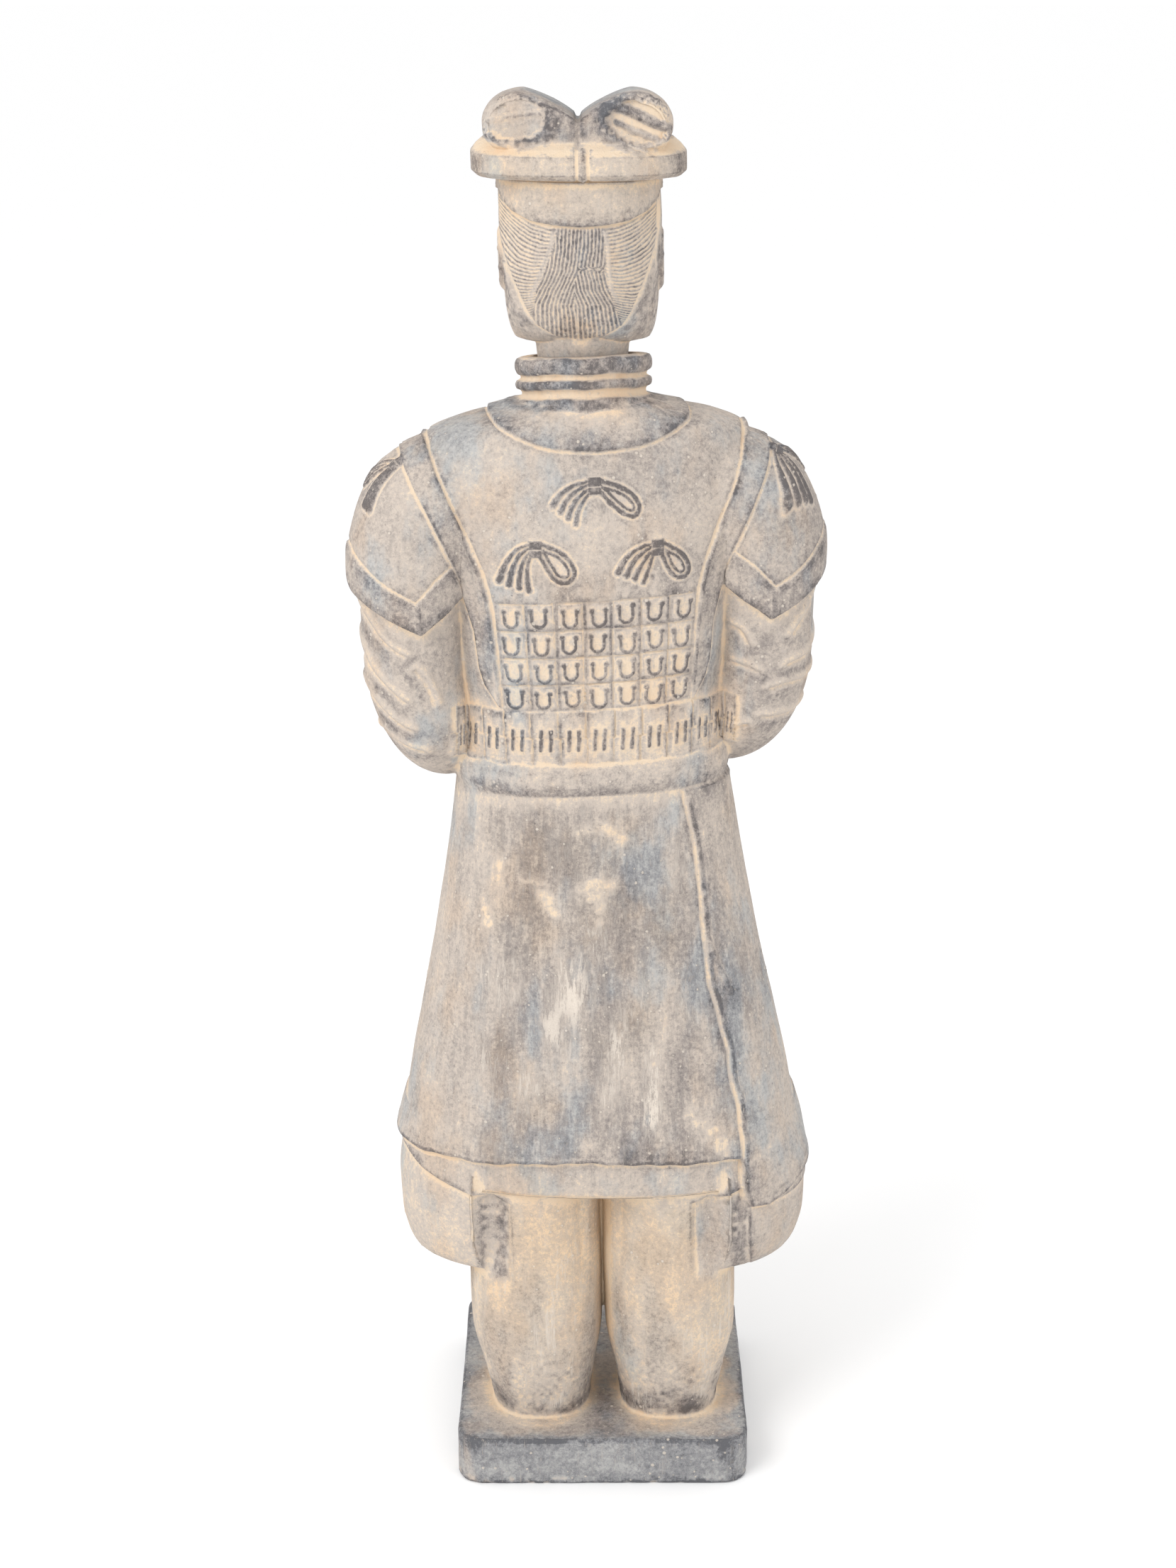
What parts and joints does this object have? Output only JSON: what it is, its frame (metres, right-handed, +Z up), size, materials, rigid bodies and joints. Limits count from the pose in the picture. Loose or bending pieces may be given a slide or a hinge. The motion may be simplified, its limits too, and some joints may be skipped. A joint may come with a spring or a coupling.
{
  "type": "terracotta warrior statue",
  "caption": "Standing armoured warrior cast in washed terracotta on a low square plinth, with a lift-off head in a two-lobed cap.",
  "frame": {"origin": "middle of the plinth's flat underside", "axes": "+Z up through the figure, -Y the way the figure faces, +X to its left hand"},
  "size_m": [0.4015, 0.2811, 1.2004],
  "materials": {
    "washed_clay": "unglazed grey-brown clay with a pale ochre slip in its hollows",
    "washed_clay_head": "unglazed grey-brown clay with a pale ochre slip in its hollows"
  },
  "bodies": {
    "root": {"warrior_body": "washed_clay", "head": "washed_clay_head"}
  },
  "joints": []
}
